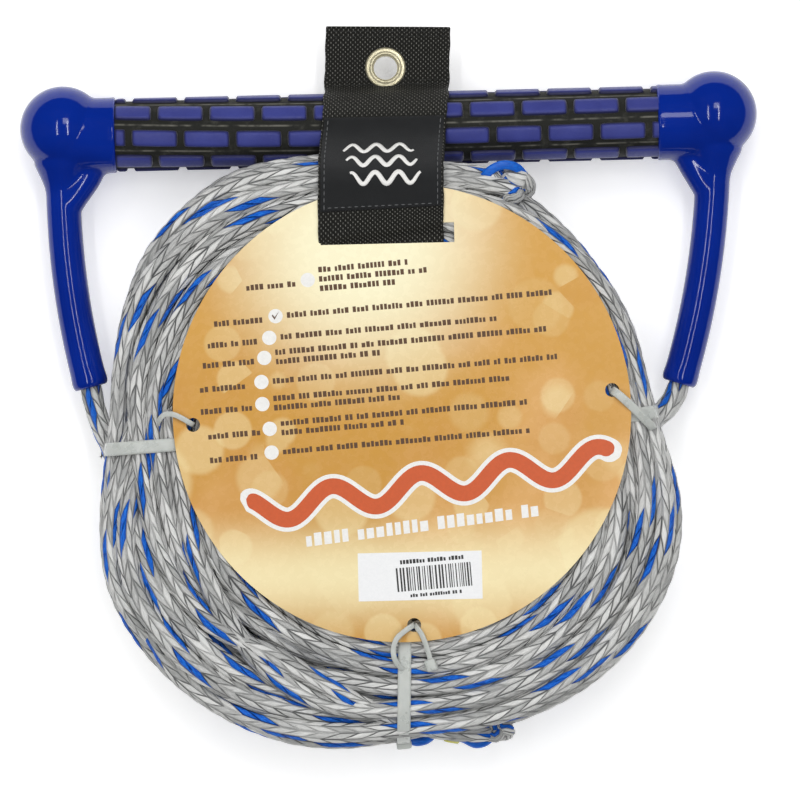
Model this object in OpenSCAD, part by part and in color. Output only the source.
// Water-ski tow rope handle, packed for sale: the handle lies on the ground along X,
// its rope is coiled beside it, and a hanging strap and a round card hold the two together.
// +Z is up, the ground is z = 0, and the origin is under the middle of the handle and its card.

/* [Handle] */
// Distance between the centres of the two end balls
ball_span = 267; // [240:1:300]
// Diameter of an end ball
ball_d = 35.2; // [32:0.2:40]
// How far a ball's centre lies behind the bar's axis
ball_offset = 3; // [0:0.1:5]
// Diameter of the end cap's collar over the grip
collar_d = 31.4; // [31:0.1:33]
// Length of the rubber grip
grip_len = 224; // [200:1:240]
// Outside diameter of the aluminium bar
tube_d = 22.2; // [20:0.1:24]
// Wall of the aluminium bar
tube_wall = 1.5; // [1:0.1:2]
// Diameter of the rubber grip between its raised blocks
grip_d = 27.5; // [26:0.1:28]
// Height of the raised blocks
block_h = 1.25; // [0.8:0.05:1.4]
// Rows of blocks round the grip
block_rows = 8; // [6:1:9]
// Distance between blocks along a row
block_pitch = 21.2; // [16:0.1:26]
// Groove between two blocks of a row
block_gap = 2.4; // [1.5:0.1:4]
// Angle that a block covers round the grip
block_angle = 27; // [20:1:35]

/* [Rope sleeves] */
// Outside diameter of the flexible sleeve below each ball
sleeve_d = 14.4; // [13:0.1:16]
// How far from the ball's centre a sleeve starts to bend
sleeve_top = 22; // [20:0.5:24]
// Length of the bent part of the left sleeve
sleeve_len_left = 85; // [70:1:90]
// Length of the bent part of the right sleeve
sleeve_len_right = 90; // [70:1:95]
// Bend radius of the sleeves
sleeve_bend = 330; // [300:5:500]
// How far the left sleeve leans in at rest, in degrees
sleeve_lean_left = -0.9; // [-2:0.1:0]
// How far the right sleeve leans in at rest, in degrees
sleeve_lean_right = 2.6; // [0:0.1:3]
// Widest diameter of the flared neck
neck_d = 22; // [18:0.5:24]

/* [Rope] */
// Diameter of the braided rope
rope_d = 9; // [8:0.5:10]
// Inside radius of the coil
coil_in_r = 65; // [60:1:70]
// Outside radius of the coil
coil_out_r = 126; // [120:1:128]
// Height of the coil
coil_h = 47; // [44:0.5:47]
// How far in front of the bar's axis the middle of the coil lies
coil_front = 132.2; // [130:0.2:136]
// Coil radius where the left tie pinches it
pinch_left_r = 110.5; // [108:0.5:120]
// Coil radius where the right tie pinches it
pinch_right_r = 113; // [110:0.5:120]
// Coil radius where the front tie pinches it
pinch_front_r = 121; // [118:0.5:124]

/* [Strap] */
// Width of the webbing
strap_w = 50; // [45:1:52]
// Thickness of the webbing
strap_t = 1.5; // [1.2:0.1:1.6]
// Length of the hanging tab behind the bar
tab_end = 41.8; // [38:0.2:46]
// Width of the woven label
label_w = 46; // [40:1:48]
// Outside diameter of the eyelet
eyelet_d = 16.2; // [15:0.1:17]
// Hole through the eyelet
eyelet_hole_d = 10; // [8:0.5:11]

/* [Card] */
// Radius of the round card
card_r = 92.5; // [90:0.5:94]
// Thickness of the card
card_t = 0.5; // [0.4:0.1:0.6]
// Diameter of the three tie holes
card_hole_d = 5.6; // [5:0.2:7]

/* [Ties] */
// Width of a main tie
tie_w = 5.4; // [4:0.2:6]
// Thickness of a main tie
tie_t = 1.2; // [1:0.1:1.4]
// Width of a card tie
card_tie_w = 3.6; // [3:0.2:4]

/* [Hidden] */

$fn = 48;
TALL = 70;                      // taller than anything here, for cuts
GAP = 0.3;                      // clearance between pieces that touch

// Handle
ball_r = ball_d / 2;
ball_x = ball_span / 2;
collar_r = collar_d / 2;
grip_r = grip_d / 2;
block_r = grip_r + block_h;
tube_r = tube_d / 2;
tube_len = grip_len + 12;       // the bar ends 6 mm inside each cap
rope_r = rope_d / 2;
bar_z = ball_r;                 // the balls rest on the ground
rope_gap = 0.25;                // room round the rope inside the caps
turn_r = 9;                     // the rope's bend inside a ball
neck_h = sleeve_top - ball_r + 4;          // the neck reaches this far from the bend, into the cup
flare_h = 2.2;                  // the flared part ends below the collar, and a stub goes on to the ball
stub_r = 6.6;
first_row_a = 26;               // the rows' turn round the bar, from straight up towards the back
row_reach = ceil(grip_len / 2 / block_pitch);
end_margin = 0.2;               // the end blocks stop this far inside the grip's ends

// Card
card_x = 2.7;
card_front = 116.5;
card_z = coil_h + 1.9;
card_top_z = card_z + card_t;
card_slot = [strap_w + 4, 8, 44];          // width, depth, distance in front of the bar's axis
card_holes = [[-81.7, -119.3], [87.7, -109.2], [5.6, -202.1]];
sticker = [50, 19.4, 0.1];
sticker_at = [8.5, -182.4];

// The bar's place along Y puts the origin under the middle of the handle and its card
back_y = tab_end;
front_y = -(card_front + card_r);
bar_y = -(back_y + front_y) / 2;

// Coil
coil_x = -6.6;
coil_corner = 14;
pinch_bend = 140;               // radius of the soft dents that the ties make
left_tie_a = 177;
right_tie_a = 7;
front_tie_a = 275;
tie_inner_r = coil_in_r + 0.5;
tie_low = tie_t;                // the ties are level with the ground
tie_top = 45;
head_w = tie_w + 2;             // a tie's head is a little wider than its strap

// Strap: its middle line in a plane across the bar, as [y from the bar's axis, z from the ground]
strap_x = -1.5;
wrap_r = block_r + GAP + strap_t / 2;
seam_a = 2;                     // the band's ends meet behind the bar, this near to level
strap_z = card_top_z + strap_t / 2 + 0.2;
strap_inner_z = coil_h + strap_t / 2 - 0.2;
strap_low_z = strap_t / 2;
function round_bar(a) = [wrap_r * cos(a), bar_z + wrap_r * sin(a)];
strap_line = concat(
    [for (a = [seam_a, 15, 30, 45, 60, 75, 90]) round_bar(a)],
    [[-4, 35.4], [-8, 39.2], [-12, 43.6], [-17, 48], [-22, 50], [-26, strap_z]],
    [[-32.4, strap_z], [-40, strap_z], [-43, strap_z - 0.2], [-45, strap_z - 1.4]],
    [[-47, strap_inner_z + 0.2]],
    [[-50, strap_inner_z], [-61, strap_inner_z], [-65, strap_inner_z - 0.8]],
    [[-67.4, strap_inner_z - 3], [-68.2, strap_inner_z - 6], [-68.2, 7], [-67.4, 4]],
    [[-65, strap_low_z + 0.6], [-61, strap_low_z], [-10, strap_low_z]],
    [for (a = [270, 285, 300, 315, 330, 345, 360 - seam_a]) round_bar(a)]);
label_first = 5;                // the label covers this stretch of the strap's middle line
label_last = 13;
label_t = 0.4;

// Tab and eyelet
tab_t = 2 * strap_t;
tab_start = 17;
eyelet_y = 25;
eyelet_x = -0.7;
eyelet_flange_t = 0.6;
eyelet_barrel_d = 11.4;

// The two rope leads from the sleeves into the coil, from the bar's axis and the ground
lead_left_points = [[0, 0, 0], [0.6, -4, 0], [1.8, -9, 0.5], [3.4, -14, 1.5], [5.6, -19, 3],
                    [8, -24, 5], [9.6, -30, 7]];
lead_right_points = [[0, 0, 0], [-1.6, -4, 0], [-4.4, -8, 1], [-8, -11.5, 3], [-12, -14.5, 6],
                     [-15.6, -18, 9], [-17.6, -23, 11]];
lead_sides = 10;

// Knots and tape on the rope
bridle_knot_at = [53.4, -27, 36.5];
bridle_knot_r = 12;
end_knot_at = [39.3, -246, 30];
end_knot_r = 7.5;
end_tape_at = [20.1, -250, 30];
end_tape_len = 5.5;

// Sides: -1 is left and +1 is right
function sleeve_turn(s) = (s < 0 ? sleeve_len_left : sleeve_len_right) / sleeve_bend * 180 / PI;
function sleeve_lean(s) = s < 0 ? sleeve_lean_left : sleeve_lean_right;
function sleeve_reach(s) = [      // a sleeve's end from its ball's centre, inwards and forwards
    sleeve_bend * (1 - cos(sleeve_turn(s))),
    sleeve_top + sleeve_bend * sin(sleeve_turn(s))];
function sleeve_end(s) = let (e = sleeve_reach(s), a = sleeve_lean(s)) [
    s * (ball_x - e[0] * cos(a) - e[1] * sin(a)),
    bar_y + ball_offset + e[0] * sin(a) - e[1] * cos(a),
    bar_z];

// ---- plane and path helpers ----

function unit(v) = v / norm(v);
function turned(v) = [-v[1], v[0]];
function tangent(p, i) = unit(p[min(i + 1, len(p) - 1)] - p[max(i - 1, 0)]);

// An open line of points made into a band, off to one side by `off`, `t` thick
function band(p, off, t) = concat(
    [for (i = [0:len(p) - 1]) p[i] + turned(tangent(p, i)) * (off - t / 2)],
    [for (i = [len(p) - 1:-1:0]) p[i] + turned(tangent(p, i)) * (off + t / 2)]);

function some(p, first, last) = [for (i = [first:last]) p[i]];

module rounded(w, h, r) {
    for (dx = [r, w - r], dy = [r, h - r]) translate([dx, dy]) circle(r);
    translate([r, 0]) square([w - 2 * r, h]);
    translate([0, r]) square([w, h - 2 * r]);
}

// A swept tube through points, square to the path, with `sides` flat sides
module tube(p, r, sides) {
    n = len(p);
    ring = [for (i = [0:n - 1])
        let (t = tangent(p, i), u = unit(cross(t, [0, 0, 1])), v = cross(u, t))
        for (k = [0:sides - 1])
            p[i] + r * (cos(360 * k / sides) * u + sin(360 * k / sides) * v)];
    walls = [for (i = [0:n - 2], k = [0:sides - 1])
        let (a = i * sides + k, b = i * sides + (k + 1) % sides)
        [a, a + sides, b + sides, b]];
    ends = [[for (k = [0:sides - 1]) k],
            [for (k = [sides - 1:-1:0]) (n - 1) * sides + k]];
    polyhedron(concat(ring), concat(walls, ends), convexity = 4);
}

module along_bar(len, r) translate([0, bar_y, bar_z]) rotate([0, 90, 0])
    cylinder(h = len, r = r, center = true);

// What is drawn on the left, for either side
module on_side(s) mirror([s > 0 ? 1 : 0, 0, 0]) children();

module at_left_ball() translate([-ball_x, bar_y + ball_offset, bar_z]) children();

// ---- handle ----

module bar_tube() color("silver") difference() {
    along_bar(tube_len, tube_r);
    along_bar(tube_len + 1, tube_r - tube_wall);
}

module grip_sleeve() color([0.1, 0.1, 0.1]) difference() {
    along_bar(grip_len, grip_r);
    along_bar(grip_len + 1, tube_r);
}

// One raised block: a piece of a ring between two places along the bar
module grip_block(from, to) rotate([0, 0, -block_angle / 2]) translate([0, 0, from])
    rotate_extrude(angle = block_angle) translate([grip_r, 0]) square([block_h, to - from]);

// Rows alternate like bricks, and the blocks at the ends are cut short
module grip_blocks() color([0.25, 0.25, 0.58])
    translate([0, bar_y, bar_z]) rotate([0, 90, 0])
        for (row = [0:block_rows - 1], i = [-row_reach:row_reach]) {
            middle = (i + (row % 2) / 2) * block_pitch;
            half = (block_pitch - block_gap) / 2;
            limit = grip_len / 2 - end_margin;
            from = max(middle - half, -limit);
            to = min(middle + half, limit);
            if (to - from > 2)
                rotate([0, 0, 180 - first_row_a - row * 360 / block_rows]) grip_block(from, to);
        }

// The rope's turn inside the left ball: in along the bar, round, and out by `out` from the bar's axis
module rope_turn(r, out) translate([-ball_x, bar_y, bar_z]) {
    translate([turn_r, 0, 0]) rotate([0, 90, 0]) cylinder(h = ball_x - tube_len / 2 - turn_r, r = r);
    translate([turn_r, -turn_r, 0]) rotate([0, 0, 90])
        rotate_extrude(angle = 90) translate([turn_r, 0]) circle(r);
    translate([0, -turn_r, 0]) rotate([90, 0, 0]) cylinder(h = out - turn_r, r = r);
}

module end_cap(s) color([0.03, 0.14, 0.55]) on_side(s) difference() {
    union() {
        at_left_ball() rotate([0, 0, 180]) sphere(ball_r);
        translate([-grip_len / 2, bar_y, bar_z]) rotate([0, -90, 0])
            cylinder(h = ball_x - grip_len / 2 - 8, r = collar_r);
    }
    along_bar(tube_len, tube_r);
    rope_turn(rope_r + rope_gap, ball_r + 4);
}

module end_cap_left() end_cap(-1);
module end_cap_right() end_cap(1);

// The rope inside the bar, with the turn that it makes in each ball
module bridle_core_bar() color([0.75, 0.77, 0.79]) {
    along_bar(tube_len, rope_r);
    for (s = [-1, 1]) on_side(s) rope_turn(rope_r, ball_r - ball_offset - 2 * GAP);
}

// What is drawn for the left from its ball's centre, leaning as that side's sleeve does
module at_sleeve(s) on_side(s) at_left_ball() rotate([0, 0, sleeve_lean(s)]) children();

// The straight neck of a sleeve or of its rope, turned round the neck's axis, with a cup
// that swings round the ball; outline is half its section, up from the bend
module neck(outline) at_sleeve_bend() rotate([-90, 0, 0]) rotate_extrude() difference() {
    polygon(outline);
    translate([0, sleeve_top]) circle(ball_r + GAP);
}

module at_sleeve_bend() translate([0, -sleeve_top, 0]) children();

// The bent body of a sleeve, for any section
module bend(s) at_sleeve_bend() translate([sleeve_bend, 0, 0]) rotate([0, 0, 180])
    rotate_extrude(angle = sleeve_turn(s)) translate([sleeve_bend, 0]) children();

module rope_sleeve(s) color([0.03, 0.12, 0.52]) at_sleeve(s) {
    neck([[rope_r, 0], [sleeve_d / 2, 0], [neck_d / 2, flare_h], [stub_r, flare_h], [stub_r, neck_h],
          [rope_r, neck_h]]);
    bend(s) difference() {
        circle(sleeve_d / 2);
        circle(rope_r);
    }
}

module rope_sleeve_left() rope_sleeve(-1);
module rope_sleeve_right() rope_sleeve(1);

module bridle_core(s) color([0.75, 0.77, 0.79]) at_sleeve(s) {
    neck([[0, 0], [rope_r, 0], [rope_r, neck_h], [0, neck_h]]);
    bend(s) circle(rope_r);
}

module bridle_core_left() bridle_core(-1);
module bridle_core_right() bridle_core(1);

// ---- strap ----

// A shape drawn across the bar, given its width along X
module across(w) translate([strap_x + w / 2, bar_y, 0]) rotate([90, 0, -90])
    linear_extrude(w) mirror([1, 0]) children();

module strap_ring(off, t) polygon(band(strap_line, off, t));

// Everything inside the strap's band, kept clear of it
module inside_strap() polygon([for (i = [0:len(strap_line) - 1])
    strap_line[i] + turned(tangent(strap_line, i)) * (strap_t / 2 + GAP)]);

module strap_loop() color([0.1, 0.1, 0.09]) across(strap_w) strap_ring(0, strap_t);

module woven_label() color([0.18, 0.185, 0.19]) across(label_w)
    polygon(band(some(strap_line, label_first, label_last), -(strap_t + label_t) / 2, label_t));

module strap_tab() color([0.1, 0.1, 0.09]) difference() {
    translate([strap_x - strap_w / 2, bar_y + tab_start, bar_z - tab_t / 2])
        cube([strap_w, tab_end - tab_start, tab_t]);
    translate([eyelet_x, bar_y + eyelet_y, 0]) cylinder(h = TALL, d = eyelet_barrel_d);
}

module at_eyelet(z) translate([eyelet_x, bar_y + eyelet_y, bar_z + z]) children();

module eyelet_barrel() color([0.8, 0.75, 0.55]) difference() {
    union() {
        at_eyelet(-tab_t / 2) cylinder(h = tab_t, d = eyelet_barrel_d);
        at_eyelet(tab_t / 2) cylinder(h = eyelet_flange_t, d = eyelet_d);
    }
    translate([eyelet_x, bar_y + eyelet_y, 0]) cylinder(h = TALL, d = eyelet_hole_d);
}

module eyelet_washer() color([0.75, 0.7, 0.5]) difference() {
    at_eyelet(-tab_t / 2 - eyelet_flange_t) cylinder(h = eyelet_flange_t, d = eyelet_d);
    translate([eyelet_x, bar_y + eyelet_y, 0]) cylinder(h = TALL, d = eyelet_hole_d);
}

// ---- card ----

module display_card() color([0.9, 0.75, 0.45]) difference() {
    translate([card_x, bar_y - card_front, card_z]) cylinder(h = card_t, r = card_r, $fn = 120);
    translate([strap_x, bar_y - card_slot[2], card_z])
        cube([card_slot[0], card_slot[1], 4], center = true);
    for (h = card_holes) translate([h[0], bar_y + h[1], card_z - 1])
        cylinder(h = 4, d = card_hole_d);
}

module barcode_sticker() color("white")
    translate([sticker_at[0] - sticker[0] / 2, bar_y + sticker_at[1] - sticker[1] / 2, card_top_z])
        cube(sticker);

// ---- coil and ties ----

module at_coil(a) translate([coil_x, bar_y - coil_front, 0]) rotate([0, 0, a]) children();

// A shape drawn as [distance from the coil's middle, height], as wide as w round the coil
module coil_slice(a, w) at_coil(a) rotate([90, 0, 0]) linear_extrude(w, center = true) children();

module tie_hole(out_r) translate([tie_inner_r, tie_low])
    rounded(out_r - 0.5 - tie_inner_r, tie_top - tie_low, 10);

module tie_outline(out_r) translate([tie_inner_r - tie_t, tie_low - tie_t])
    rounded(out_r - 0.5 - tie_inner_r + 2 * tie_t, tie_top - tie_low + 2 * tie_t, 10 + tie_t);

module bundle_tie(a, out_r, head) color([0.82, 0.83, 0.82]) difference() {
    union() {
        coil_slice(a, tie_w) tie_outline(out_r);
        coil_slice(a, head_w) translate(head) square([4.5, 5.5]);
    }
    coil_slice(a, head_w + 1) tie_hole(out_r);
}

// The space that one main tie leaves for the rope
module outside_tie(a, out_r) difference() {
    coil_slice(a, head_w + 2 * GAP) translate([coil_in_r - 5, -1]) square([70, TALL]);
    coil_slice(a, head_w + 2) tie_hole(out_r);
}

module bundle_tie_left() bundle_tie(left_tie_a, pinch_left_r, [pinch_left_r - 0.5, 8]);
module bundle_tie_right() bundle_tie(right_tie_a, pinch_right_r, [pinch_right_r - 0.5, 8]);
module bundle_tie_front() bundle_tie(front_tie_a, pinch_front_r, [pinch_front_r - 0.5, 30]);

// A card tie: a closed loop from a hole in the card, round a few turns of rope beside it
module card_tie_shape(w, low) {
    difference() {
        rounded(w, 52 - low, 3.4);
        translate([1, 1]) rounded(w - 2, 50 - low, 2.4);
    }
}

module card_tie(hole, a, w, low) color([0.82, 0.83, 0.82])
    translate([card_holes[hole][0], bar_y + card_holes[hole][1], low]) rotate([0, 0, a])
        translate([-1.6, 0, 0]) rotate([90, 0, 0])
            linear_extrude(card_tie_w, center = true) card_tie_shape(w, low);

module card_tie_left() card_tie(0, 178, 19, 37);
module card_tie_right() card_tie(1, -60, 22, 36);
module card_tie_front() card_tie(2, 285, 23, 36);

module bar_envelope() {
    along_bar(grip_len, block_r + GAP);
    translate([-grip_len / 2, bar_y - block_r - GAP, -1]) cube([grip_len, 2 * block_r, bar_z + 1]);
}

module pinch(a, out_r) at_coil(a) translate([out_r + pinch_bend, 0, -1])
    cylinder(h = TALL, r = pinch_bend, $fn = 180);

module rope_coil() color([0.75, 0.77, 0.79]) difference() {
    at_coil(0) rotate_extrude($fn = 120)
        translate([coil_in_r, 0]) rounded(coil_out_r - coil_in_r, coil_h, coil_corner);
    pinch(left_tie_a, pinch_left_r);
    pinch(right_tie_a, pinch_right_r);
    pinch(front_tie_a, pinch_front_r);
    outside_tie(left_tie_a, pinch_left_r);
    outside_tie(right_tie_a, pinch_right_r);
    outside_tie(front_tie_a, pinch_front_r);
    bar_envelope();
    for (s = [-1, 1]) at_sleeve(s) bend(s) circle(sleeve_d / 2 + 2 * GAP);
    difference() {
        translate([strap_x - strap_w / 2 - 0.5, bar_y - 75, -1]) cube([strap_w + 1, 90, TALL]);
        across(strap_w + 2) inside_strap();
    }
    card_tie_left();
    card_tie_right();
    card_tie_front();
    knot_ball(bridle_knot_at, bridle_knot_r);
    knot_ball(end_knot_at, end_knot_r);
    tape_band(rope_r + 0.5, 0);
}

module lead(s, points) color([0.75, 0.77, 0.79])
    tube([for (p = points) sleeve_end(s) + p + [0, -1, 0]], rope_r, lead_sides);

module bridle_lead_left() lead(-1, lead_left_points);
module bridle_lead_right() lead(1, lead_right_points);

module knot_ball(at, r) translate([at[0], bar_y + at[1], at[2]]) sphere(r);

module bridle_knot() color([0.75, 0.77, 0.79]) knot_ball(bridle_knot_at, bridle_knot_r);
module end_knot() color([0.75, 0.77, 0.79]) knot_ball(end_knot_at, end_knot_r);

module tape_band(r, hole) translate([end_tape_at[0], bar_y + end_tape_at[1], end_tape_at[2]])
    rotate([0, 90, 4]) difference() {
        cylinder(h = end_tape_len, r = r, center = true);
        if (hole > 0) cylinder(h = end_tape_len + 1, r = hole, center = true);
    }

module end_tape() color([0.75, 0.72, 0.1]) tape_band(rope_r + 0.4, rope_r);

bar_tube();
grip_sleeve();
grip_blocks();
end_cap_left();
end_cap_right();
rope_sleeve_left();
rope_sleeve_right();
bridle_core_bar();
bridle_core_left();
bridle_core_right();
strap_loop();
woven_label();
strap_tab();
eyelet_barrel();
eyelet_washer();
display_card();
barcode_sticker();
rope_coil();
bridle_lead_left();
bridle_lead_right();
bridle_knot();
end_knot();
end_tape();
bundle_tie_left();
bundle_tie_right();
bundle_tie_front();
card_tie_left();
card_tie_right();
card_tie_front();
